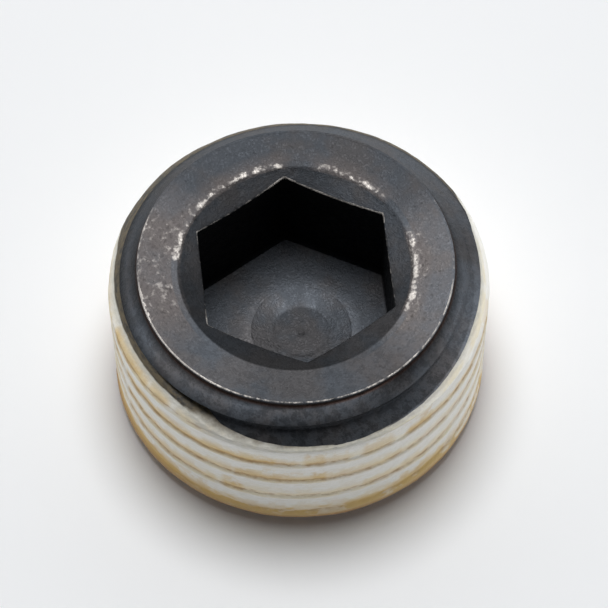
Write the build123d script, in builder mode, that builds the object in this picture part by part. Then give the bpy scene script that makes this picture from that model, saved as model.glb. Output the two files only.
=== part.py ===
from build123d import *
import os
from math import atan, ceil, cos, degrees, radians, sin, tan

# Oil plug: a hexagon-socket taper pipe plug that stands on its small end.
# Millimetres, +Z up out of the socket, origin at the centre of the small end face.

# Driving dimensions of the steel plug
plug_height = 10.7
crest_radius = 10.36  # thread crest where the large-end chamfer meets it
taper = 1 / 16  # change of diameter over length
large_chamfer_depth = 2.1  # from the large end down to the full crest
lip_inset = 1.74  # outer edge of the end face, inside the full crest
lip_height = 0.3  # short upright land under that edge
small_chamfer_height = 0.8
small_end_inset = 1.16  # edge of the small end face, inside the full crest

# Pipe thread, 14 turns to the inch, right-hand, 55 degree form with rounded roots
thread_pitch = 1.814
thread_depth = 1.162
thread_angle = 55
root_rounding = 0.249
first_root_drop = 1.4  # first groove bottom below the large end, at the front (-Y)
groove_overcut = 0.1  # how far the groove tool stands out of the crest

# End face and hexagon socket
rim_radius = 6.45  # inner edge of the end face, where the countersink starts
dish_depth = 0.3  # fall of the end face from its lip to that rim
countersink_angle = 17  # below the level
socket_across_flats = 10.15
socket_depth = 7.0
socket_corner_angle = 95.6  # one corner of the hexagon, counter-clockwise from +X
punch_mark_radius = 2.8
punch_mark_floor_radius = 1.45
punch_mark_depth = 0.25

# White sealant that lies in the thread
sealant_top_drop = 1.85  # upper edge below the large end
sealant_bottom_height = 0.4
sealant_below_crest = 0.08

crest_slope = taper / 2
crest_top_z = plug_height - large_chamfer_depth
lip_radius = crest_radius - lip_inset
lip_z = plug_height - lip_height
small_end_radius = crest_radius - small_end_inset


# The crest cone, carried on past both chamfers.
def crest_radius_at(z):
    return crest_radius - (crest_top_z - z) * crest_slope


# The large-end chamfer, a cone from the lip down to the full crest.
def large_chamfer_radius_at(z):
    return lip_radius + (crest_radius - lip_radius) * (lip_z - z) / (lip_z - crest_top_z)


# The small-end chamfer, a cone from the end face up to the crest.
def small_chamfer_radius_at(z):
    crest_start = crest_radius_at(small_chamfer_height)
    return small_end_radius + (crest_start - small_end_radius) * z / small_chamfer_height


# Groove tool: a rounded V carried up a tapered helix, one turn after another. It starts below the
# small end and stops above the large end, so the groove runs out through both chamfers.
start_to_front = 0.75  # part of a turn, because a turn starts at +X and the front is -Y
first_root_z = plug_height - first_root_drop
turns_below_first_root = ceil(first_root_z / thread_pitch) + start_to_front
groove_start_z = first_root_z - turns_below_first_root * thread_pitch
groove_turns = ceil((plug_height - groove_start_z) / thread_pitch) + 1
cone_angle = degrees(atan(crest_slope))
slant_pitch = thread_pitch / cos(radians(cone_angle))

half_angle = radians(thread_angle / 2)
flank_foot_x = root_rounding * (1 - sin(half_angle))
flank_foot_y = root_rounding * cos(half_angle)
flank_top_x = thread_depth + groove_overcut
flank_top_y = flank_foot_y + (flank_top_x - flank_foot_x) * tan(half_angle)

with BuildPart() as groove_tool:
    for turn in range(groove_turns):
        turn_z = groove_start_z + turn * thread_pitch
        turn_radius = crest_radius_at(turn_z) - thread_depth
        with BuildLine() as turn_path:
            Helix(slant_pitch, thread_pitch, turn_radius, center=(0, 0, turn_z), cone_angle=cone_angle)
        with BuildSketch(Plane(origin=(turn_radius, 0, turn_z), x_dir=(1, 0, 0), z_dir=(0, 1, 0))):
            with BuildLine():
                ThreePointArc((flank_foot_x, -flank_foot_y), (0, 0), (flank_foot_x, flank_foot_y))
                Polyline(
                    (flank_foot_x, flank_foot_y),
                    (flank_top_x, flank_top_y),
                    (flank_top_x, -flank_top_y),
                    (flank_foot_x, -flank_foot_y),
                )
            make_face()
        sweep(path=turn_path.line, is_frenet=True)

# Plug body: a turned blank with a dished end, then its groove, socket and punch mark.
rim_z = plug_height - dish_depth
countersink_centre_z = rim_z - rim_radius * tan(radians(countersink_angle))
socket_floor_z = plug_height - socket_depth
punch_mark_taper = degrees(atan((punch_mark_radius - punch_mark_floor_radius) / punch_mark_depth))

with BuildPart() as plug_body:
    with BuildSketch(Plane.YZ):
        with BuildLine():
            Polyline(
                (0, 0),
                (small_end_radius, 0),
                (crest_radius_at(small_chamfer_height), small_chamfer_height),
                (crest_radius, crest_top_z),
                (lip_radius, lip_z),
                (lip_radius, plug_height),
                (rim_radius, rim_z),
                (0, countersink_centre_z),
                close=True,
            )
        make_face()
    revolve(axis=Axis.Z)
    add(groove_tool.part, mode=Mode.SUBTRACT)
    with BuildSketch(Plane.XY.offset(socket_floor_z)):
        RegularPolygon(
            radius=socket_across_flats / 2,
            side_count=6,
            major_radius=False,
            rotation=socket_corner_angle,
        )
    extrude(amount=socket_depth, mode=Mode.SUBTRACT)
    with BuildSketch(Plane.XY.offset(socket_floor_z)):
        Circle(punch_mark_radius)
    extrude(amount=-punch_mark_depth, taper=punch_mark_taper, mode=Mode.SUBTRACT)

# Thread sealant: what fills the groove, up to a little below the crests.
sealant_top_z = plug_height - sealant_top_drop
sealant_top_radius = large_chamfer_radius_at(sealant_top_z) - sealant_below_crest
sealant_bottom_radius = small_chamfer_radius_at(sealant_bottom_height) - sealant_below_crest

with BuildPart() as thread_sealant:
    with BuildSketch(Plane.YZ):
        with BuildLine():
            Polyline(
                (0, sealant_bottom_height),
                (sealant_bottom_radius, sealant_bottom_height),
                (crest_radius_at(small_chamfer_height) - sealant_below_crest, small_chamfer_height),
                (crest_radius - sealant_below_crest, crest_top_z),
                (sealant_top_radius, sealant_top_z),
                (0, sealant_top_z),
                close=True,
            )
        make_face()
    revolve(axis=Axis.Z)
    add(groove_tool.part, mode=Mode.INTERSECT)

plug_body.part.label = "plug_body"
thread_sealant.part.label = "thread_sealant"

os.makedirs("parts", exist_ok=True)
export_step(plug_body.part, "parts/plug_body.step")
export_step(thread_sealant.part, "parts/thread_sealant.step")
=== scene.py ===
from math import cos, pi, radians, sin, tan

import bmesh
import bpy
import numpy as np
from mathutils import Matrix, Vector, noise


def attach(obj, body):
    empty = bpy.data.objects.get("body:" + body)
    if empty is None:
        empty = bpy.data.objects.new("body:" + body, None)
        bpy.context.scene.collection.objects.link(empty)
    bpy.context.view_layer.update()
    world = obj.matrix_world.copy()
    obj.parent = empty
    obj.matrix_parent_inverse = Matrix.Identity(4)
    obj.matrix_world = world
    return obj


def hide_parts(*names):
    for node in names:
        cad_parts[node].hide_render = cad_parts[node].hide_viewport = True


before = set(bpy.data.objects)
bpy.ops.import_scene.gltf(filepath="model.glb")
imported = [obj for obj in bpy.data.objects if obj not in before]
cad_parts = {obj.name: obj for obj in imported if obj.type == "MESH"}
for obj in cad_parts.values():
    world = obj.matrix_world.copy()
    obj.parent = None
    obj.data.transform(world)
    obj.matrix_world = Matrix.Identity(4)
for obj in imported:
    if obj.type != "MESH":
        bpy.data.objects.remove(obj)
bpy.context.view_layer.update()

# Camera. It looks down at the socket end from the -Y side, from far off through a long lens, as the
# photo was taken, and the object sits a little left of the picture's middle.
mm = 0.001
picture_width = 608  # pixels
pixels_per_mm = 18.5  # at the large end face
focal_pixels = 6000
camera_elevation = 1.03922711  # radians above the level
camera_roll = 0.0128650  # radians
axis_pixel = (298.3, 264.43)  # where the thread's axis meets the end face
plug_height = 10.7

camera_data = bpy.data.cameras.new("photo_camera")
camera = bpy.data.objects.new("photo_camera", camera_data)
bpy.context.scene.collection.objects.link(camera)
camera_data.sensor_width = 36
camera_data.lens = focal_pixels / picture_width * camera_data.sensor_width
camera_data.clip_start = 0.01
camera_data.clip_end = 20

level_right = Vector((1, 0, 0))
level_up = Vector((0, sin(camera_elevation), cos(camera_elevation)))
forward = Vector((0, cos(camera_elevation), -sin(camera_elevation)))
right = level_right * cos(camera_roll) - level_up * sin(camera_roll)
up = level_right * sin(camera_roll) + level_up * cos(camera_roll)
aim_right = axis_pixel[0] - picture_width / 2
aim_up = picture_width / 2 - axis_pixel[1]
offset = right * aim_right + up * aim_up + forward * focal_pixels
location = Vector((0, 0, plug_height * mm)) - offset * (mm / pixels_per_mm)
turn = Matrix((right, up, -forward)).transposed().to_4x4()
camera.matrix_world = Matrix.Translation(location) @ turn
bpy.context.scene.camera = camera

# Table and light. The object stands on a matt white table under one broad soft lamp, a little behind
# it, in a room that is pale behind and low down at both sides, and dark behind the camera.
table_half = 1.5  # metres, from the middle to each side
table_white = (0.895, 0.905, 0.92, 1)
table_mesh = bpy.data.meshes.new("table")
corners = [(x * table_half, y * table_half, 0) for x, y in ((-1, -1), (1, -1), (1, 1), (-1, 1))]
table_mesh.from_pydata(corners, [], [(0, 1, 2, 3)])
table = bpy.data.objects.new("table", table_mesh)
bpy.context.scene.collection.objects.link(table)
table_paint = bpy.data.materials.new("matt_white_table")
table_paint.use_nodes = True
table_shader = table_paint.node_tree.nodes["Principled BSDF"]
table_shader.inputs["Base Color"].default_value = table_white
table_shader.inputs["Roughness"].default_value = 0.9
table_shader.inputs["Specular IOR Level"].default_value = 0.1
table_mesh.materials.append(table_paint)

lamp_distance = 0.6  # metres
lamp_back_tilt = radians(12)
lamp_half_angle = radians(16)  # as the object sees the lamp
lamp_watts = 2.6
lamp_data = bpy.data.lights.new("soft_lamp", "AREA")
lamp_data.shape = "DISK"
lamp_data.size = 2 * lamp_distance * tan(lamp_half_angle)
lamp_data.energy = lamp_watts
lamp = bpy.data.objects.new("soft_lamp", lamp_data)
bpy.context.scene.collection.objects.link(lamp)
lamp.location = (0, lamp_distance * sin(lamp_back_tilt), lamp_distance * cos(lamp_back_tilt))
lamp.rotation_euler = (-lamp_back_tilt, 0, 0)


# Helpers that wire shader nodes. A value is a number, a colour or another node's output.
def wire(tree, value, socket):
    if isinstance(value, bpy.types.NodeSocket):
        tree.links.new(value, socket)
    else:
        socket.default_value = value


def math_node(tree, operation, *values, clamp=False):
    node = tree.nodes.new("ShaderNodeMath")
    node.operation, node.use_clamp = operation, clamp
    for value, socket in zip(values, node.inputs):
        wire(tree, value, socket)
    return node.outputs[0]


def multiply(tree, first, *others):
    for other in others:
        first = math_node(tree, "MULTIPLY", first, other)
    return first


def ramp(tree, value, low, high, to_low=0.0, to_high=1.0):
    node = tree.nodes.new("ShaderNodeMapRange")
    node.interpolation_type = "SMOOTHSTEP"
    for given, socket in zip((value, low, high, to_low, to_high), node.inputs):
        wire(tree, given, socket)
    return node.outputs[0]


def blend_colors(tree, factor, first, second, kind="MIX"):
    node = tree.nodes.new("ShaderNodeMix")
    node.data_type, node.blend_type = "RGBA", kind
    for value, socket in ((factor, node.inputs[0]), (first, node.inputs[6]), (second, node.inputs[7])):
        wire(tree, value, socket)
    return node.outputs[2]


# The room's light by direction: X is to the right, Y is behind the object and Z is up. A camera that
# looks past the table sees one even, pale background instead.
room_white = (0.97, 0.985, 1.0, 1)
back_light = 1.05
low_back_light = 0.8
low_side_light = 1.85
low_down_top = 0.45  # a direction with a larger Z isn't low down
right_side_extra = 0.2  # share by which the room is brighter on the right and darker on the left
seen_background = 0.9
world = bpy.data.worlds.new("pale_room")
world.use_nodes = True
bpy.context.scene.world = world
tree = world.node_tree
room = tree.nodes["Background"]
room.inputs["Color"].default_value = room_white
direction = tree.nodes.new("ShaderNodeTexCoord")
parts = tree.nodes.new("ShaderNodeSeparateXYZ")
tree.links.new(direction.outputs["Generated"], parts.inputs[0])
x, y, z = parts.outputs
behind = math_node(tree, "MAXIMUM", y, 0.0)
low_down = ramp(tree, z, 0.0, low_down_top, 1.0, 0.0)
sideways = math_node(tree, "ADD", math_node(tree, "ABSOLUTE", x), multiply(tree, x, right_side_extra))
side_light = multiply(tree, sideways, low_side_light)
low_light = math_node(tree, "ADD", side_light, multiply(tree, behind, low_back_light))
strength = math_node(tree, "ADD", multiply(tree, behind, back_light), multiply(tree, low_down, low_light))
ray = tree.nodes.new("ShaderNodeLightPath")
seen = tree.nodes.new("ShaderNodeMix")
wire(tree, ray.outputs["Is Camera Ray"], seen.inputs["Factor"])
wire(tree, strength, seen.inputs["A"])
wire(tree, seen_background, seen.inputs["B"])
wire(tree, seen.outputs[0], room.inputs["Strength"])
bpy.context.scene.view_settings.view_transform = "Standard"

# Plug body. It is one turned piece of alloy steel, blackened in a hot salt bath: a dished end face
# with a countersunk, broached hexagon socket, chamfered ends and a tapered right-hand thread. Its
# sizes are in millimetres, and heights are above the small end face, on which it stands.
crest_radius = 10.36  # where the crests' cone meets the large chamfer
taper_slope = 1 / 32  # change of radius over length
large_chamfer_depth = 2.1
lip_radius = 8.62
lip_height = 0.3
end_off_axis = -0.14  # the end face was turned this far off the thread's axis, along X
off_axis_depth = 1.7  # below the large end, where the chamfer is back on the axis
small_chamfer_height = 0.8
small_end_radius = 9.2
thread_pitch = 1.814
thread_depth = 1.162
half_thread_angle = radians(27.5)
root_rounding = 0.249
first_root_drop = 1.4  # at the front, -Y
rim_radius = 6.45
dish_depth = 0.3
countersink_slope = tan(radians(17))
socket_apothem = 10.15 / 2
socket_corner_rounding = 0.15
socket_corner_angle = radians(95.6)
socket_depth = 7.0
punch_mark_radius = 2.8
punch_mark_floor_radius = 1.45
punch_mark_depth = 0.25
punch_mark_off_centre = 0.26  # along X

# The skin is made of rings with one point in each column. The first column lies at a socket corner.
columns = 600
angles = socket_corner_angle + np.arange(columns) * (2 * pi / columns)
degrees_round = np.degrees(angles)
crest_top_z = plug_height - large_chamfer_depth
lip_z = plug_height - lip_height
first_root_z = plug_height - first_root_drop
root_foot_x = root_rounding * (1 - sin(half_thread_angle))
root_foot_z = root_rounding * cos(half_thread_angle)


def cone_radius(z):
    return crest_radius - (crest_top_z - z) * taper_slope


# The turned blank before its thread was cut: the crests' cone between its two chamfers.
def blank_radius(z):
    chamfer = lip_radius + (crest_radius - lip_radius) * (lip_z - z) / (lip_z - crest_top_z)
    small_start = cone_radius(small_chamfer_height)
    small = small_end_radius + (small_start - small_end_radius) * z / small_chamfer_height
    radius = np.where(z > crest_top_z, chamfer, cone_radius(z))
    return np.where(z < small_chamfer_height, small, radius)


# Height of a groove's bottom: it rises by one pitch for each turn counter-clockwise.
def root_height(turn_number):
    around = (angles - 1.5 * pi) / (2 * pi)
    return first_root_z + (around + turn_number) * thread_pitch


# The groove's form, a V with a rounded bottom, carried on past the blank.
def groove_radius(z, root_z):
    away = np.abs(z - root_z)
    arc = root_rounding - np.sqrt(np.clip(root_rounding**2 - away**2, 0, None))
    flank = root_foot_x + (away - root_foot_z) / tan(half_thread_angle)
    return cone_radius(root_z) - thread_depth + np.where(away < root_foot_z, arc, flank)


def steel_radius(z, turn_number):
    return np.minimum(blank_radius(z), groove_radius(z, root_height(turn_number)))


# Where a groove's flanks leave the blank, found by looking away from its bottom in small steps.
def groove_edges(turn_number):
    root_z = root_height(turn_number)
    step_count = 120
    steps = np.linspace(0, 1, step_count + 1)[:, None]
    found = []
    for side in (1, -1):
        z = root_z + side * steps * thread_pitch / 2
        depth = blank_radius(z) - groove_radius(z, root_z)
        last = np.where((depth > 0).any(0), step_count - (depth > 0)[::-1].argmax(0), 0)
        following = np.minimum(last + 1, step_count)
        inner = np.take_along_axis(depth, last[None], 0)[0]
        outer = np.take_along_axis(depth, following[None], 0)[0]
        share = np.clip(inner, 0, None) / np.maximum(inner - outer, 1e-9)
        found.append(root_z + side * (last + np.clip(share, 0, 1)) / step_count * thread_pitch / 2)
    return found


def ring(radius, z, shift=0.0):
    radius, z = np.broadcast_to(radius, columns), np.broadcast_to(z, columns)
    return np.stack([radius * np.cos(angles) + shift, radius * np.sin(angles), z], 1)


# A ring on the outside, which moves over to the end face's centre near the large end.
def outer_ring(radius, z):
    share = (z - (plug_height - off_axis_depth)) / (off_axis_depth - lip_height)
    return ring(radius, z, end_off_axis * np.clip(share, 0, 1))


# Smooth noise at each of some points, about -1 to 1, with the detail's size in millimetres.
def lumps(points, size, seed):
    place = Vector((seed * 7.3, seed * 3.1, seed * 5.7))
    return np.array([noise.noise(Vector(point) / size + place) for point in points])


# How much of a stretch of the turn each column has: 1 between two angles in degrees, 0 outside.
def stretch(first, last, feather=8):
    middle, half = (first + last) / 2, (last - first) / 2
    away = np.abs((degrees_round - middle + 180) % 360 - 180)
    return np.clip((half + feather - away) / feather, 0, 1)


sharp_edge = radians(40)


# One closed skin over rings of points that run from one end to the other. Between the first and the
# last helical row, the last column joins the first one turn further on. The two ends are capped, or
# else the last ring joins the first.
def skin(name, rings, helical_first, helical_last, rows_per_turn, capped, layers):
    points = np.concatenate(rings) * mm
    faces = []
    for row in range(len(rings) - 1):
        helical = helical_first <= row and row + 1 <= helical_last
        step = rows_per_turn if helical else 0
        for column in range(columns):
            a, b = row * columns + column, (row + 1) * columns + column
            if column < columns - 1:
                faces.append((a, b, b + 1, a + 1))
            elif row - step >= helical_first or not helical:
                faces.append((a, b, (row + 1 - step) * columns, (row - step) * columns))
    first, last = 0, (len(rings) - 1) * columns
    if capped:
        faces.append(tuple(range(first, first + columns)))
        faces.append(tuple(range(last + columns - 1, last - 1, -1)))
    else:
        for column in range(columns):
            following = (column + 1) % columns
            faces.append((last + column, first + column, first + following, last + following))
    mesh = bpy.data.meshes.new(name)
    mesh.from_pydata(points.tolist(), [], faces)
    for layer_name, values in layers.items():
        layer = mesh.attributes.new(layer_name, "FLOAT", "POINT")
        layer.data.foreach_set("value", np.concatenate(values))
    work = bmesh.new()
    work.from_mesh(mesh)
    bmesh.ops.remove_doubles(work, verts=work.verts, dist=1e-7)
    bmesh.ops.dissolve_degenerate(work, edges=work.edges, dist=1e-8)
    bmesh.ops.recalc_face_normals(work, faces=work.faces)
    work.to_mesh(mesh)
    work.free()
    mesh.shade_smooth()
    mesh.set_sharp_from_angle(angle=sharp_edge)
    piece = bpy.data.objects.new(name, mesh)
    bpy.context.scene.collection.objects.link(piece)
    return piece


# Hexagon outline as a radius for each column, with slightly rounded corners.
sixth = pi / 3  # of a turn, from one corner to the next
inner_apothem = socket_apothem - socket_corner_rounding
off_corner = (angles - socket_corner_angle + sixth / 2) % sixth - sixth / 2
straight = socket_apothem / np.cos(sixth / 2 - np.abs(off_corner))
corner_centre = inner_apothem / cos(sixth / 2)
corner_reach = socket_corner_rounding**2 - (corner_centre * np.sin(off_corner)) ** 2
rounded = corner_centre * np.cos(off_corner) + np.sqrt(np.clip(corner_reach, 0, None))
corner_half = sixth / 2 - np.arctan(inner_apothem * tan(sixth / 2) / socket_apothem)
hexagon = np.where(np.abs(off_corner) < corner_half, rounded, straight)

socket_floor_z = plug_height - socket_depth
rim_z = plug_height - dish_depth
mouth_z = rim_z - (rim_radius - hexagon) * countersink_slope
punch_floor_z = socket_floor_z - punch_mark_depth

# Each point of the skin carries a tone, how pale its oxide is with painted light and shade in it, how worn
# its edge is and how scuffed it is.
rows, tone, wear, scuff = [], [], [], []


def add_row(points, pale, worn=0.0, scuffed=0.0):
    rows.append(points)
    tone.append(np.broadcast_to(pale, columns))
    wear.append(np.broadcast_to(worn, columns))
    scuff.append(np.broadcast_to(scuffed, columns))


# Punch mark and socket floor, from the middle outwards. The mark has a small pit in its middle, the
# far side of its slope is painted paler as light, with two painted reflections on it, and a small burr stands
# round it.
floor_tone = 0.095
pit_tone = floor_tone * 0.7
mark_floor_tone = floor_tone * 0.86
mark_crease_tone = floor_tone * 0.84
burr_tone = floor_tone * 1.4
mark_centre = end_off_axis + punch_mark_off_centre
for radius, pit in ((0.04, 0.03), (0.1, 0.025), (0.17, 0.005), (0.4, 0), (0.7, 0), (1.0, 0), (1.3, 0)):
    points = ring(radius, punch_floor_z - pit, mark_centre)
    points[:, 2] += 0.015 * lumps(points, 0.5, 1)
    add_row(points, pit_tone if pit else mark_floor_tone)
# Two painted reflections low on the mark's far slope, and that slope painted paler as light.
painted_reflection_spots = stretch(69, 79, 12) + stretch(118, 129, 12)
for share in (0, 0.05, 0.15, 0.3, 0.45, 0.6, 0.75, 0.88, 0.96):
    radius = punch_mark_floor_radius + (punch_mark_radius - punch_mark_floor_radius) * share
    points = ring(radius, punch_floor_z + punch_mark_depth * share, mark_centre)
    points[:, 2] += 0.012 * lumps(points, 0.5, 1)
    far_slope_light = 0.3 * stretch(55, 140, 25) + 0.6 * (1 - share) * painted_reflection_spots
    add_row(points, mark_crease_tone if share < 0.1 else floor_tone * (1.04 + far_slope_light))
burr_reach = 0.2
for away, lift, worn in ((-0.03, 0, 0), (0.03, 0.006, 0.3), (0.1, 0.004, 0), (burr_reach, 0, 0)):
    add_row(ring(punch_mark_radius + away, socket_floor_z + lift, mark_centre), burr_tone, worn)
for share in (0.2, 0.4, 0.6, 0.8, 0.95):
    radius = punch_mark_radius + burr_reach + (hexagon - punch_mark_radius - burr_reach) * share
    points = ring(radius, socket_floor_z, end_off_axis + punch_mark_off_centre * (1 - share))
    points[:, 2] += 0.01 * lumps(points, 0.7, 2)
    add_row(points, floor_tone)
# Where the floor meets the walls it is painted darker, as shade.
for inset, lift in ((0.06, 0.005), (0.02, 0.02), (0, 0.08)):
    add_row(ring(hexagon - inset, socket_floor_z + lift, end_off_axis), floor_tone * 0.8)

# Socket walls, the broken edge of the mouth, and the countersink. Each row of the mouth's edge says
# how far outwards and below it lies, in shares of mouth_break, how worn it is, and its tone.
# The socket walls are painted near black, as shade deep in the socket.
wall_shade_tone = 0.012
# The countersink is painted darker at the front and paler behind on the right, as light and shade.
cone_tone_with_light = 0.046 - 0.018 * stretch(190, 285, 20) + 0.025 * stretch(5, 60, 20)
for share in (0.1, 0.4, 0.65, 0.85, 0.96):
    height = (mouth_z - socket_floor_z) * share
    add_row(ring(hexagon, socket_floor_z + height, end_off_axis), wall_shade_tone)
mouth_break = 0.07
mouth_wear = 0.5 * stretch(100, 155) + 0.8 * stretch(37, 100) + 0.45 * stretch(-20, 33)
mouth_wear += 0.35 * stretch(160, 212) + 0.5 * stretch(214, 236)
mouth_profile = ((0, 1.0, 0.6, wall_shade_tone), (0.12, 0.45, 1.3, 0.03), (0.6, 0.1, 1.3, cone_tone_with_light))
mouth_profile += ((1.4, 0, 0.4, cone_tone_with_light),)
for outward, below, worn, pale in mouth_profile:
    radius = hexagon + mouth_break * outward
    z = mouth_z - mouth_break * below + mouth_break * outward * countersink_slope
    points = ring(radius, z, end_off_axis)
    points[:, 2] += 0.012 * lumps(points, 0.3, 3)
    add_row(points, pale, worn * mouth_wear)
for share in (0.3, 0.55, 0.8):
    radius = hexagon + (rim_radius - hexagon) * share
    z = rim_z - (rim_radius - radius) * countersink_slope
    add_row(ring(radius, z, end_off_axis), cone_tone_with_light)

# The rim between countersink and end face, where the broach and later keys raised a burr. Each row
# says how far outside the rim and above it lies, and how worn it is.
# The end face's tone is painted paler on the right and the left, and a little on the front left, as sheen.
face_tone_with_sheen = 0.08 + 0.065 * stretch(-30, 15, 20) + 0.042 * stretch(155, 195, 20)
face_tone_with_sheen += 0.02 * stretch(215, 240, 15)
rim_wear = 0.85 * stretch(98, 172, 5) + 0.9 * stretch(44, 78, 6)
rim_wear += stretch(-22, 16, 8) + 0.3 * stretch(172, 200)
burr_height = 0.035
rim_profile = ((-0.16, -0.045, 0.3), (-0.07, -0.012, 0.8), (0.02, 0.004, 0.95))
rim_profile += ((0.13, 0.013, 0.85), (0.26, 0.034, 0.6))
for away, lift, worn in rim_profile:
    points = ring(rim_radius + away, rim_z, end_off_axis)
    ragged = 0.7 * lumps(points, 0.6, 4) + 0.6 * lumps(points, 0.17, 14)
    burr = burr_height * rim_wear * np.clip(0.3 + ragged, 0, 1) * worn
    points = ring(rim_radius + away + 0.05 * ragged * rim_wear, rim_z + lift + burr, end_off_axis)
    pale = cone_tone_with_light if away < 0 else face_tone_with_sheen
    add_row(points, pale, worn * rim_wear * np.clip(0.85 + 0.9 * ragged, 0, 1.3), 0.8 * rim_wear)

# The dished end face with its pits and scuffs, thickest on the left, and its worn outer lip.
left_side = stretch(163, 200, 25)
near_rim = 0.8 * stretch(98, 165, 10) + 0.7 * stretch(44, 78, 10) + stretch(-22, 14, 18)
right_side = 0.3 * stretch(-50, 20, 25)
pit_depth = 0.03
for share in np.linspace(0.15, 0.955, 34):
    radius = rim_radius + (lip_radius - rim_radius) * share
    points = ring(radius, rim_z + dish_depth * share, end_off_axis)
    scuffed = np.clip(0.8 * left_side + right_side + near_rim * max(0, 1 - 2.2 * share), 0, 1)
    pits = np.clip(lumps(points, 0.16, 5) - 0.45 + 0.3 * scuffed, 0, 0.4) / 0.4
    points[:, 2] += 0.012 * lumps(points, 1.6, 6) - pit_depth * pits * (0.15 + scuffed)
    add_row(points, face_tone_with_sheen * (1 - 0.5 * pits), 0, scuffed)
lip_wear = 0.85 * stretch(198, 345, 10) + 0.35 * stretch(198, 238, 15)
lip_wear += 0.75 * stretch(160, 198) + 0.5 * stretch(-15, 25)
lip_wear += 0.3 * stretch(95, 160) + 0.15 * stretch(25, 95)
nick_angle, nick_half_width = 283, 0.8  # degrees
nick_depth = 0.07
nick = nick_depth * np.exp(-(((degrees_round - nick_angle) / nick_half_width) ** 2))
for inset, below, worn in ((0.17, 0.015, 0.5), (0.1, 0.02, 1), (0.03, 0.045, 1), (0, 0.1, 0.3)):
    dents = lumps(ring(lip_radius, plug_height, end_off_axis), 0.35, 7)
    dented = inset + 0.02 * np.clip(dents, 0, 1) + nick
    points = ring(lip_radius - dented, plug_height - below, end_off_axis)
    worn = worn * lip_wear * np.clip(1 + 0.5 * dents, 0, 1)
    add_row(points, face_tone_with_sheen, worn, 0.5 * left_side)
dirt_tone = 0.022
for height in (0.16, 0.06):
    add_row(ring(lip_radius, lip_z + height, end_off_axis), dirt_tone)
add_row(outer_ring(lip_radius, lip_z), dirt_tone)

# The chamfer and the thread, row by row along each turn, then the small end face. The chamfer's tone
# goes by angle as painted light and shade, paler at the front, and a groove is painted dark as shade, darkest
# at its upper flank.
turn_numbers = range(2, -7, -1)  # from above the large end to below the small end
root_offsets = (0.221, 0.12, 0, -0.12, -0.221)
edge_break = 0.025
lip_dirt_height = 0.12  # how far the dirt under the lip reaches down the chamfer
tone_angles = (96, 146, 187, 211, 250, 270, 300, 335, 350, 370, 400, 456)
chamfer_tones_with_light = (0.085, 0.06, 0.09, 0.18, 0.23, 0.19, 0.25, 0.25, 0.18, 0.07, 0.09, 0.085)
chamfer_tone_with_light = np.interp(degrees_round, tone_angles, chamfer_tones_with_light)
groove_shade_tones = (1, 0.35, 0.1, 0.1, 0.15, 0.2, 0.22, 0.25, 0.3, 0.8)
run_out_half = 0.2  # least half width of the rows where a groove runs out
steel_helical_first = len(rows) - 1
for turn_number in turn_numbers:
    root_z = root_height(turn_number)
    upper, lower = groove_edges(turn_number)
    upper, lower = np.maximum(upper, root_z + run_out_half), np.minimum(lower, root_z - run_out_half)
    edge = np.minimum(edge_break, (upper - lower) / 5)
    heights = [root_z + thread_pitch / 2, upper + edge, upper - edge]
    heights += [np.clip(root_z + away, lower + edge, upper - edge) for away in root_offsets]
    heights += [lower + edge, lower - edge]
    for z, share in zip(heights, groove_shade_tones):
        z = np.clip(z, 0, lip_z)
        near_lip = np.clip((z - lip_z + lip_dirt_height) / lip_dirt_height, 0, 1)
        cut = np.clip((upper - lower) / (2 * run_out_half) - 1, 0, 1)
        pale = chamfer_tone_with_light * (1 - cut * (1 - share)) * (1 - near_lip) + dirt_tone * near_lip
        add_row(outer_ring(steel_radius(z, turn_number), z), pale)
steel_helical_last = len(rows) - 1
for radius in (small_end_radius, 8.6, 6, 3, 1):
    add_row(ring(radius, 0), face_tone_with_sheen)

layers = {"tone": tone, "wear": wear, "scuff": scuff}
body = skin("plug_body_steel", rows, steel_helical_first, steel_helical_last, len(groove_shade_tones), True, layers)
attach(body, "root")
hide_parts("plug_body")


# An empty shader node group with named inputs and outputs, and its use in another tree.
def new_group(name, inputs, outputs):
    group = bpy.data.node_groups.new(name, "ShaderNodeTree")
    for socket_name, kind, default in inputs:
        socket = group.interface.new_socket(socket_name, in_out="INPUT", socket_type="NodeSocket" + kind)
        if default is not None:
            socket.default_value = default
    for socket_name, kind in outputs:
        group.interface.new_socket(socket_name, in_out="OUTPUT", socket_type="NodeSocket" + kind)
    return group, group.nodes.new("NodeGroupInput").outputs, group.nodes.new("NodeGroupOutput").inputs


def use_group(tree, group, **values):
    node = tree.nodes.new("ShaderNodeGroup")
    node.node_tree = group
    for name, value in values.items():
        wire(tree, value, node.inputs[name.replace("_", " ")])
    return node.outputs


def painted(tree, name):
    node = tree.nodes.new("ShaderNodeAttribute")
    node.attribute_name = name
    return node.outputs["Fac"]


# Places on a turned, threaded part in millimetres: the point, its radius and height, and how far it
# lies above the nearest thread crest, which follows the helix.
crest_height_at_x = first_root_z - thread_pitch / 4
outputs = [("Point", "Vector"), ("Radius", "Float"), ("Height", "Float"), ("Above Crest", "Float")]
turned_places, _, result = new_group("turned_places", [], outputs)
tree = turned_places
place = tree.nodes.new("ShaderNodeTexCoord")
scale = tree.nodes.new("ShaderNodeVectorMath")
scale.operation = "SCALE"
scale.inputs["Scale"].default_value = 1 / mm
tree.links.new(place.outputs["Object"], scale.inputs[0])
split = tree.nodes.new("ShaderNodeSeparateXYZ")
tree.links.new(scale.outputs[0], split.inputs[0])
x, y, z = split.outputs
radius_squared = math_node(tree, "ADD", multiply(tree, x, x), multiply(tree, y, y))
turns = math_node(tree, "DIVIDE", math_node(tree, "ARCTAN2", y, x), 2 * pi)
pitches = math_node(tree, "DIVIDE", math_node(tree, "SUBTRACT", z, crest_height_at_x), thread_pitch)
above_share = math_node(tree, "FRACT", math_node(tree, "SUBTRACT", pitches, turns))
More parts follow.
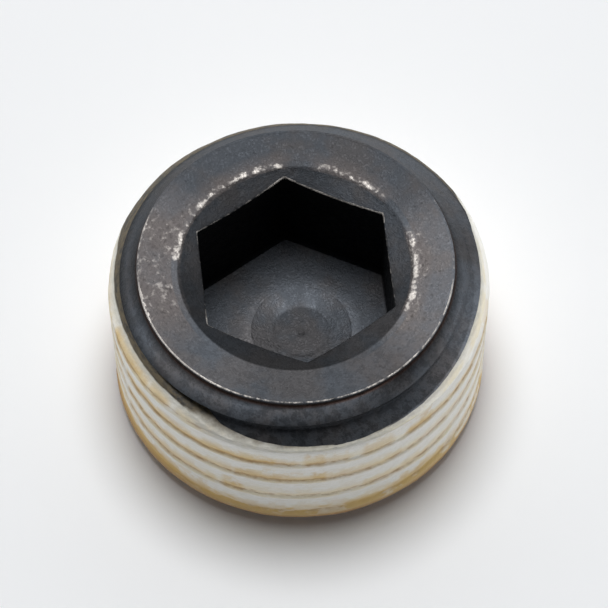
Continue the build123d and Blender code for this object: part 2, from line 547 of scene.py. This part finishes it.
tree.links.new(scale.outputs[0], result["Point"])
tree.links.new(math_node(tree, "SQRT", radius_squared), result["Radius"])
tree.links.new(z, result["Height"])
tree.links.new(multiply(tree, above_share, thread_pitch), result["Above Crest"])

# Irregular patches, from noise cut at a level: 1 inside a patch, with a soft border. Level 0.5
# covers half of the surface, and Flatten above 1 draws the patches out level.
inputs = [("Point", "Vector", None), ("Size", "Float", 1.0), ("Flatten", "Float", 1.0)]
inputs += [("Seed", "Float", 0.0), ("Level", "Float", 0.5), ("Border", "Float", 0.1)]
patches, given, result = new_group("patches", inputs, [("Mask", "Float"), ("Noise", "Float")])
tree = patches
flatten = tree.nodes.new("ShaderNodeCombineXYZ")
flatten.inputs["X"].default_value = flatten.inputs["Y"].default_value = 1
tree.links.new(given["Flatten"], flatten.inputs["Z"])
flattened = tree.nodes.new("ShaderNodeVectorMath")
flattened.operation = "MULTIPLY"
tree.links.new(given["Point"], flattened.inputs[0])
tree.links.new(flatten.outputs[0], flattened.inputs[1])
cloud = tree.nodes.new("ShaderNodeTexNoise")
cloud.noise_dimensions = "4D"
cloud.inputs["Detail"].default_value = 3
cloud.inputs["Roughness"].default_value = 0.6
tree.links.new(flattened.outputs[0], cloud.inputs["Vector"])
tree.links.new(given["Seed"], cloud.inputs["W"])
tree.links.new(math_node(tree, "DIVIDE", 1.0, given["Size"]), cloud.inputs["Scale"])
spread = ramp(tree, cloud.outputs[0], 0.3, 0.7)
low = math_node(tree, "SUBTRACT", given["Level"], given["Border"])
high = math_node(tree, "ADD", given["Level"], given["Border"])
tree.links.new(ramp(tree, spread, low, high), result["Mask"])
tree.links.new(spread, result["Noise"])

# Blackened steel. Black oxide is dark and blue-grey, browner where it is thin or dirty, and it has
# worn through to bare metal on the edges and in the scuffed stretches of the end face.
cool_tint = (0.9, 0.99, 1.13, 1)
warm_tint = (1.1, 1.0, 0.97, 1)
dirt_tint = (1.35, 0.85, 0.7, 1)
scuffed_grey = (0.16, 0.145, 0.145, 1)
bare_steel = (0.5, 0.47, 0.44, 1)

blackened_steel = bpy.data.materials.new("blackened_steel")
blackened_steel.use_nodes = True
tree = blackened_steel.node_tree
steel_shader = tree.nodes["Principled BSDF"]
places = use_group(tree, turned_places)
point = places["Point"]
broad = use_group(tree, patches, Point=point, Size=2.4, Seed=3.0, Border=0.45)["Mask"]
mottle = use_group(tree, patches, Point=point, Size=0.5, Seed=11.0, Border=0.4)["Mask"]
speck = use_group(tree, patches, Point=point, Size=0.11, Seed=5.0, Border=0.4)["Mask"]
scuffed = painted(tree, "scuff")
warmth = math_node(tree, "ADD", multiply(tree, broad, 0.6), multiply(tree, scuffed, 0.8), clamp=True)
tint = blend_colors(tree, warmth, cool_tint, warm_tint)
lip_low = ramp(tree, places["Height"], lip_z + 0.05, lip_z + 0.2, 1.0, 0.0)
lip_high = ramp(tree, places["Height"], lip_z - 0.15, lip_z, 0.0, 1.0)
lip_here = ramp(tree, places["Radius"], lip_radius - 0.25, lip_radius - 0.2)
tint = blend_colors(tree, multiply(tree, lip_low, lip_high, lip_here), tint, dirt_tint)
grain = math_node(tree, "ADD", mottle, multiply(tree, speck, 0.6))
# The tone holds painted light and shade as well as the oxide's own paleness.
brightness = multiply(tree, painted(tree, "tone"), ramp(tree, grain, 0.2, 1.4, 0.78, 1.22))
color = blend_colors(tree, 1.0, tint, brightness, "MULTIPLY")
scuffed_through = multiply(tree, scuffed, ramp(tree, mottle, 0.1, 0.9, 0.3, 0.8))
color = blend_colors(tree, scuffed_through, color, scuffed_grey)

fleck_level = ramp(tree, scuffed, 0.0, 1.0, 1.35, 0.85)
flecks = use_group(tree, patches, Point=point, Size=0.3, Seed=8.0, Level=fleck_level, Border=0.3)["Mask"]
edge_noise = use_group(tree, patches, Point=point, Size=0.3, Seed=21.0)["Noise"]
edge_level = math_node(tree, "ADD", painted(tree, "wear"), multiply(tree, edge_noise, 0.5))
bare = math_node(tree, "MAXIMUM", multiply(tree, flecks, 0.5), ramp(tree, edge_level, 0.75, 1.3, 0.0, 0.85))
wire(tree, blend_colors(tree, bare, color, bare_steel), steel_shader.inputs["Base Color"])
steel_shader.inputs["Metallic"].default_value = 1
matt = math_node(tree, "SUBTRACT", ramp(tree, mottle, 0.0, 1.0, 0.56, 0.68), multiply(tree, bare, 0.15))
wire(tree, matt, steel_shader.inputs["Roughness"])
bump = tree.nodes.new("ShaderNodeBump")
bump.inputs["Strength"].default_value = 0.35
bump.inputs["Distance"].default_value = 0.03 * mm
wire(tree, math_node(tree, "ADD", speck, multiply(tree, mottle, 0.8)), bump.inputs["Height"])
wire(tree, bump.outputs[0], steel_shader.inputs["Normal"])
body.data.materials.append(blackened_steel)

# Thread sealant: a white paste that was brushed into the thread and dried there. It fills the
# grooves and lies as a thin film over the crests, and dirt has gathered in its low lines.
coat_film = 0.016
coat_grip = 0.01  # the coat's inside lies this far within the steel
coat_edge = 0.14  # height of its rounded upper and lower edges
coat_bottom_z = 0.4
bottom_bulge_z, bottom_bulge_half, bottom_bulge = 0.85, 0.45, 0.06  # over the small chamfer

# Where the white starts, below the large end, by angle. Behind and on the left the coat itself
# reaches higher, up to the groove's upper edge, and dark grime covers it down to that line. Below
# the line the white is soiled and painted greyer as shade, in a band that is narrower on the right and on the
# left.
white_angles = (96, 150, 160, 168, 180, 200, 225, 236, 244)
white_drops = (2.3, 2.25, 2.05, 1.82, 1.74, 1.6, 1.63, 1.78, 1.95)
white_angles += (254, 264, 282, 300, 315, 340, 362, 378, 390, 402, 456)
white_drops += (2.02, 2.04, 1.99, 1.89, 1.77, 1.59, 1.61, 1.68, 2.0, 2.25, 2.3)
white_z = plug_height - np.interp(degrees_round, white_angles, white_drops)
white_z += 0.02 * lumps(ring(10.0, 0.0), 2.2, 9) + 0.008 * lumps(ring(10.0, 0.0), 0.5, 10)
highest_groove_upper = np.where(degrees_round < 360, groove_edges(0)[0], groove_edges(-1)[0])
soil_and_shade_fade = 1 + 2.5 * stretch(-45, 45, 25) + 1.2 * stretch(130, 228, 15)
grimy = stretch(30, 215, 30) ** 1.5
coat_top_z = white_z + grimy * np.clip(highest_groove_upper + 0.02 - white_z, 0, None)

# How far the coat stands out from the blank, by how far it is below a crest, as a share of the
# pitch: a bead on each crest, and a hollow above the next one.
profile_share = (0, 0.05, 0.12, 0.3, 0.5, 0.7, 0.79, 0.85, 0.92, 0.97, 1)
profile_height = (0.035, 0.03, 0.012, 0, -0.012, -0.035, -0.055, -0.05, 0.0, 0.032, 0.035)


def coat_outside(z, turn_number):
    below = 0.5 - (z - root_height(turn_number)) / thread_pitch
    stand = np.interp(below, profile_share, profile_height)
    stand += bottom_bulge * np.exp(-(((z - bottom_bulge_z) / bottom_bulge_half) ** 2))
    return np.maximum(blank_radius(z) + stand, steel_radius(z, turn_number) + coat_film)


# A radius at some height, from the turn of the thread that lies there in each column.
def by_turn(z, of_turn):
    radius = np.zeros(columns)
    for turn_number in turn_numbers:
        here = np.abs(z - root_height(turn_number)) <= thread_pitch / 2 + 1e-9
        radius = np.where(here, of_turn(z, turn_number), radius)
    return radius


# Stains, given one by one: the number of the crest below them, from the large end down, the first and
# last angle, how far they reach up from the dirt line, and how strong they are.
stain_feather = 2.5  # degrees over which a stain fades out at each side
stains = (
    (0, 96, 190, 0.2, 0.5), (0, 196, 216, 0.3, 1.0), (0, 219, 225, 0.3, 0.8), (0, 231, 242, 0.2, 0.4),
    (1, 96, 200, 0.2, 0.6), (1, 205, 262, 0.25, 1.0), (1, 262, 268, 0.15, 0.7), (1, 272, 277, 0.6, 0.8),
    (1, 277, 284, 0.4, 0.5), (1, 290, 298, 0.6, 0.6), (1, 305, 313, 0.55, 0.95), (1, 313, 342, 0.2, 0.7),
    (1, 344, 353, 0.6, 0.85), (1, 360, 456, 0.2, 0.6),
    (2, 96, 200, 0.3, 0.5), (2, 205, 240, 0.2, 0.8), (2, 241, 248, 0.6, 0.6), (2, 250, 262, 0.45, 0.85),
    (2, 262, 274, 0.3, 0.8), (2, 274, 277, 0.5, 1.0), (2, 277, 302, 0.25, 0.6), (2, 302, 456, 0.2, 0.4),
    (3, 96, 200, 0.2, 0.5), (3, 205, 242, 0.3, 0.7), (3, 246, 251, 0.5, 0.95), (3, 251, 290, 0.3, 0.25),
    (3, 290, 312, 0.25, 0.55), (3, 312, 456, 0.2, 0.35),
    (4, 96, 240, 0.5, 0.8), (4, 240, 300, 0.35, 0.5), (4, 300, 320, 0.5, 0.9), (4, 320, 456, 0.3, 0.5),
)


def stain_here(crest_number):
    reach, strong = np.zeros(columns), np.zeros(columns)
    for number, first, last, far, strength in stains:
        if number == crest_number:
            share = stretch(first, last, stain_feather)
            reach, strong = np.maximum(reach, far * share), np.maximum(strong, strength * share)
    return reach, strong


coat_rows, grime, stain_reach, stain = [], [], [], []


def add_coat_row(z, crest_number, thick=1.0):
    inside = by_turn(z, steel_radius) - coat_grip
    outside = by_turn(z, coat_outside)
    points = outer_ring(outside, z)
    outside = outside + 0.018 * lumps(points, 0.9, 12) + 0.01 * lumps(points * [1, 1, 2.5], 0.3, 13)
    coat_rows.append(outer_ring(inside + (outside - inside) * thick, z))
    reach, strong = stain_here(crest_number)
    grime.append((z - white_z) * soil_and_shade_fade)
    stain_reach.append(reach)
    stain.append(strong)


# The coat's rows, from its rounded upper edge down along each turn to its rounded lower edge. They
# lie closer near the crests, where its form and the dirt line change most.
edge_steps = (0, 0.12, 0.35, 0.65, 1)
for step in edge_steps:
    add_coat_row(coat_top_z - coat_edge * step, 0, sin(step * pi / 2))
coat_helical_first = len(coat_rows) - 1
below_crest_shares = (0, 0.03, 0.06, 0.1, 0.15, 0.22, 0.3, 0.4, 0.5, 0.6)
below_crest_shares += (0.68, 0.74, 0.79, 0.83, 0.86, 0.89, 0.92, 0.95, 0.975)
for turn_number in turn_numbers:
    for share in below_crest_shares:
        z = root_height(turn_number) + (0.5 - share) * thread_pitch
        add_coat_row(np.clip(z, coat_bottom_z + coat_edge, coat_top_z - coat_edge), -turn_number)
coat_helical_last = len(coat_rows) - 1
lowest_crest = 5  # below the last stains
for step in edge_steps[::-1]:
    add_coat_row(coat_bottom_z + coat_edge * step, lowest_crest, sin(step * pi / 2))
layers = {"grime": grime, "stain_reach": stain_reach, "stain": stain}
rows_per_turn = len(below_crest_shares)
coat = skin("sealant_coat", coat_rows, coat_helical_first, coat_helical_last, rows_per_turn, False, layers)
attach(coat, "root")
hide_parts("thread_sealant")

# Dried sealant: matt and off-white, creamier towards the lower side of each band. It has a thin
# brown dirt line above each crest with ochre smears on it. Its lower edge is stained ochre and then
# brown, and its upper edge is painted grey below the dark grime, as soil and shade.
paste_white = (0.86, 0.85, 0.82, 1)
paste_cream = (0.84, 0.77, 0.6, 1)
ochre = (0.65, 0.43, 0.13, 1)
pale_ochre = (0.77, 0.61, 0.33, 1)
soiled_and_shaded_white = (0.54, 0.53, 0.48, 1)
olive = (0.5, 0.43, 0.2, 1)
line_brown = (0.4, 0.22, 0.1, 1)
dark_grime = (0.025, 0.025, 0.023, 1)
brown_grime = (0.1, 0.078, 0.045, 1)

dried_sealant = bpy.data.materials.new("dried_sealant")
dried_sealant.use_nodes = True
tree = dried_sealant.node_tree
sealant_shader = tree.nodes["Principled BSDF"]
places = use_group(tree, turned_places)
point, above, height = places["Point"], places["Above Crest"], places["Height"]
cloudy = use_group(tree, patches, Point=point, Size=1.5, Flatten=2.0, Seed=2.0, Border=0.4)["Mask"]
streaks = use_group(tree, patches, Point=point, Size=0.5, Flatten=5.0, Seed=14.0, Border=0.4)["Mask"]
wander = use_group(tree, patches, Point=point, Size=0.8, Seed=17.0)["Noise"]

creamy_low = ramp(tree, above, 0.3, 1.3, 1.0, 0.15)
cream = multiply(tree, creamy_low, ramp(tree, cloudy, 0.0, 1.0, 0.3, 1.0))
color = blend_colors(tree, multiply(tree, cream, 0.9), paste_white, paste_cream)
color = blend_colors(tree, multiply(tree, streaks, 0.12), color, olive)

line_height = 0.3  # above the crest
line_wander = 0.12
line_place = math_node(tree, "ADD", line_height - line_wander / 2, multiply(tree, wander, line_wander))
from_line = math_node(tree, "SUBTRACT", above, line_place)
strong = painted(tree, "stain")
reach = multiply(tree, painted(tree, "stain_reach"), ramp(tree, wander, 0.2, 0.8, 1.4, 3.0))
smear_up = ramp(tree, from_line, 0.0, math_node(tree, "ADD", reach, 0.4), 1.0, 0.0)
smear_down = ramp(tree, from_line, -0.3, 0.05)
smear_color = blend_colors(tree, multiply(tree, cloudy, 0.7), ochre, pale_ochre)
color = blend_colors(tree, multiply(tree, smear_up, smear_down, strong, 0.95), color, smear_color)
line = ramp(tree, math_node(tree, "ABSOLUTE", from_line), 0.0, 0.16, 1.0, 0.0)
line_broken = ramp(tree, math_node(tree, "ADD", strong, streaks), 0.5, 1.5)
color = blend_colors(tree, multiply(tree, line, line_broken, 0.65), color, line_brown)

bottom_reach = ramp(tree, cloudy, 0.0, 1.0, 1.35, 1.9)
bottom = ramp(tree, math_node(tree, "SUBTRACT", height, bottom_reach), -0.45, 0.35, 1.0, 0.0)
color = blend_colors(tree, multiply(tree, bottom, 0.85), color, ochre)
bottom_line = ramp(tree, height, 0.75, 1.25, 1.0, 0.0)
color = blend_colors(tree, multiply(tree, bottom_line, 0.9), color, line_brown)

strayed = multiply(tree, math_node(tree, "SUBTRACT", wander, 0.5), 0.06)
grime_edge = math_node(tree, "ADD", painted(tree, "grime"), strayed)
# Painted shade and soil: the white is greyed below the grime line.
soiled_and_shaded = multiply(tree, ramp(tree, grime_edge, -0.9, -0.1), ramp(tree, streaks, 0.0, 1.0, 0.6, 0.9))
color = blend_colors(tree, soiled_and_shaded, color, soiled_and_shaded_white)
browner = math_node(tree, "ADD", streaks, multiply(tree, cloudy, 0.5), clamp=True)
grime_color = blend_colors(tree, browner, dark_grime, brown_grime)
color = blend_colors(tree, ramp(tree, grime_edge, -0.12, 0.06), color, grime_color)
wire(tree, color, sealant_shader.inputs["Base Color"])
sealant_shader.inputs["Roughness"].default_value = 0.65
grit = use_group(tree, patches, Point=point, Size=0.25, Flatten=2.0, Seed=9.0)["Noise"]
bump = tree.nodes.new("ShaderNodeBump")
bump.inputs["Strength"].default_value = 0.4
bump.inputs["Distance"].default_value = 0.04 * mm
wire(tree, grit, bump.inputs["Height"])
wire(tree, bump.outputs[0], sealant_shader.inputs["Normal"])
coat.data.materials.append(dried_sealant)
